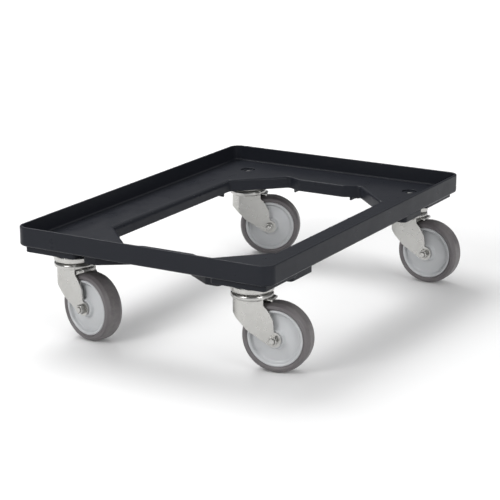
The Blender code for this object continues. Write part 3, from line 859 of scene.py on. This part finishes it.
def floor_finish():
    """White floor that glows more the farther it is, and is clear seen from below."""
    material, tree, shader = shader_of("floor_finish")
    distance = tree.nodes.new("ShaderNodeVectorMath")
    distance.operation = "LENGTH"
    tree.links.new(tree.nodes.new("ShaderNodeTexCoord").outputs["Object"], distance.inputs[0])
    glow = remap(tree, distance.outputs["Value"], 0.5, 2.6, 0.05, 0.65)
    tree.links.new(glow, shader.inputs["Emission Strength"])
    shader.inputs["Emission Color"].default_value = (1, 1, 1, 1)
    place = coordinates(tree)
    colour = mix_colours(tree, noise(tree, place, 2), (0.80, 0.80, 0.80), (0.83, 0.83, 0.83))
    tree.links.new(colour, shader.inputs["Base Color"])
    shader.inputs["Roughness"].default_value = 0.6
    sides = tree.nodes.new("ShaderNodeMixShader")
    tree.links.new(tree.nodes.new("ShaderNodeNewGeometry").outputs["Backfacing"], sides.inputs[0])
    tree.links.new(shader.outputs[0], sides.inputs[1])
    tree.links.new(tree.nodes.new("ShaderNodeBsdfTransparent").outputs[0], sides.inputs[2])
    tree.links.new(sides.outputs[0], tree.nodes["Material Output"].inputs["Surface"])
    return material


# ---- assembly -----------------------------------------------------------
def add_piece(name, mesh, material, place, body, node):
    """Show a mesh in place of a CAD node, riding on that node's body."""
    piece = new_object(name, mesh)
    piece.matrix_world = place
    mesh.materials.clear()
    mesh.materials.append(material)
    weighted = piece.modifiers.new("even_shading", "WEIGHTED_NORMAL")
    weighted.keep_sharp = True
    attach(piece, body)
    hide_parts(node)


def caster_places(corner):
    """Places of the swivel axis on the floor and of the axle, both turned along the trail."""
    pivot = Vector(JOINTS[corner + "_swivel"]["pos_m"])
    axle = Vector(JOINTS[corner + "_wheel"]["pos_m"])
    turn = Matrix.Rotation(atan2(axle.y - pivot.y, axle.x - pivot.x), 4, "Z")
    swivel = Matrix.Translation((pivot.x, pivot.y, 0)) @ turn
    return swivel, Matrix.Translation(axle) @ turn


def caster_pieces(zinc, steel, hub, rubber):
    """CAD name of each caster piece: its mesh, finish, slot, body and which place it uses."""
    return {
        "mount_bolt": (mount_bolt_mesh(), steel, "steel", "frame", 0),
        "mount_washer": (mount_washer_mesh(), zinc, "zinc", "frame", 0),
        "fixed_race": (fixed_race_mesh(), zinc, "zinc", "frame", 0),
        "king_nut": (king_nut_mesh(), zinc, "zinc", "frame", 0),
        "fork": (fork_mesh(), zinc, "zinc", "swivel_", 0),
        "upper_ball_ring": (ball_row_mesh(0.0195, 0.0028, 0.0084, "upper_balls"),
                            steel, "steel", "swivel_", 0),
        "lower_ball_ring": (ball_row_mesh(0.0130, 0.0022, 0.0167, "lower_balls"),
                            steel, "steel", "swivel_", 0),
        "axle_bolt": (axle_bolt_mesh(), zinc, "zinc", "swivel_", 1),
        "axle_nut": (axle_nut_mesh(), zinc, "zinc", "swivel_", 1),
        "axle_sleeve": (axle_sleeve_mesh(), steel, "steel", "swivel_", 1),
        "wheel_hub": (hub_mesh(), hub, "hub", "wheel_", 1),
        "tyre": (tyre_mesh(), rubber, "tyre", "wheel_", 1),
    }


def build_dolly():
    plastic = moulded_plastic()
    add_piece("frame_shell", frame_mesh(), plastic, Matrix.Translation(TRAY_CENTRE),
              "frame", "frame_moulding")
    pieces = caster_pieces(zinc_plate(), bright_steel(), hub_plastic(), grey_tyre())
    for corner in CORNERS:
        places = caster_places(corner)
        for kind, (mesh, material, slot, body, place) in pieces.items():
            body_name = body + corner if body.endswith("_") else body
            add_piece(f"{corner}_{kind}", mesh, material, places[place], body_name,
                      f"{kind}_{corner}")


# ---- stage, light and camera --------------------------------------------
def build_floor():
    sheet = bpy.data.meshes.new("floor")
    sheet.from_pydata(((-9, -9, 0), (9, -9, 0), (9, 9, 0), (-9, 9, 0)), (), ((0, 1, 2, 3),))
    floor = new_object("floor", sheet)
    floor.data.materials.append(floor_finish())


def add_area_light(name, place, target, size, power):
    lamp = bpy.data.lights.new(name, "AREA")
    lamp.shape, lamp.size, lamp.size_y, lamp.energy = "RECTANGLE", size[0], size[1], power
    obj = bpy.data.objects.new(name, lamp)
    bpy.context.scene.collection.objects.link(obj)
    obj.location = place
    obj.rotation_euler = (Vector(target) - Vector(place)).to_track_quat("-Z", "Y").to_euler()


def studio_sky():
    """World that lights from overhead, dark near the horizon so that metal has contrast.

    The camera itself sees it plain white.
    """
    world = bpy.data.worlds.new("studio")
    world.use_nodes = True
    tree = world.node_tree
    direction = tree.nodes.new("ShaderNodeTexCoord").outputs["Generated"]
    parts = tree.nodes.new("ShaderNodeSeparateXYZ")
    tree.links.new(direction, parts.inputs[0])
    up = remap(tree, parts.outputs["Z"], 0.2, 0.6, 0.0, 1.0)
    colour = mix_colours(tree, up, (0.09, 0.095, 0.11), (1.0, 1.0, 1.0))
    seen = tree.nodes.new("ShaderNodeLightPath").outputs["Is Camera Ray"]
    colour = mix_colours(tree, seen, colour, (1.6, 1.6, 1.6))
    tree.links.new(colour, tree.nodes["Background"].inputs["Color"])
    tree.nodes["Background"].inputs["Strength"].default_value = 0.62
    return world


def build_light():
    bpy.context.scene.world = studio_sky()
    add_area_light("key", (0.6, 1.3, 2.1), (0, 0, 0), (1.8, 1.2), 44)
    add_area_light("left_fill", (-2.3, 0.6, 1.5), (0, 0, 0.05), (0.9, 1.4), 28)
    add_area_light("front_fill", (-0.9, -2.3, 1.2), (0, 0, 0.05), (1.0, 0.7), 20)


def build_camera():
    camera = bpy.data.cameras.new("camera")
    camera.lens, camera.sensor_width = 131.0, 36.0
    camera.clip_end = 50
    obj = bpy.data.objects.new("camera", camera)
    bpy.context.scene.collection.objects.link(obj)
    obj.location = TRAY_CENTRE + Vector((-2.315, -1.346, 0.851))
    target = TRAY_CENTRE + Vector((0.0, 0.0, 0.086))
    obj.rotation_euler = (target - obj.location).to_track_quat("-Z", "Y").to_euler()
    bpy.context.scene.camera = obj


build_dolly()
build_floor()
build_light()
build_camera()
bpy.context.scene.view_settings.view_transform = "Standard"
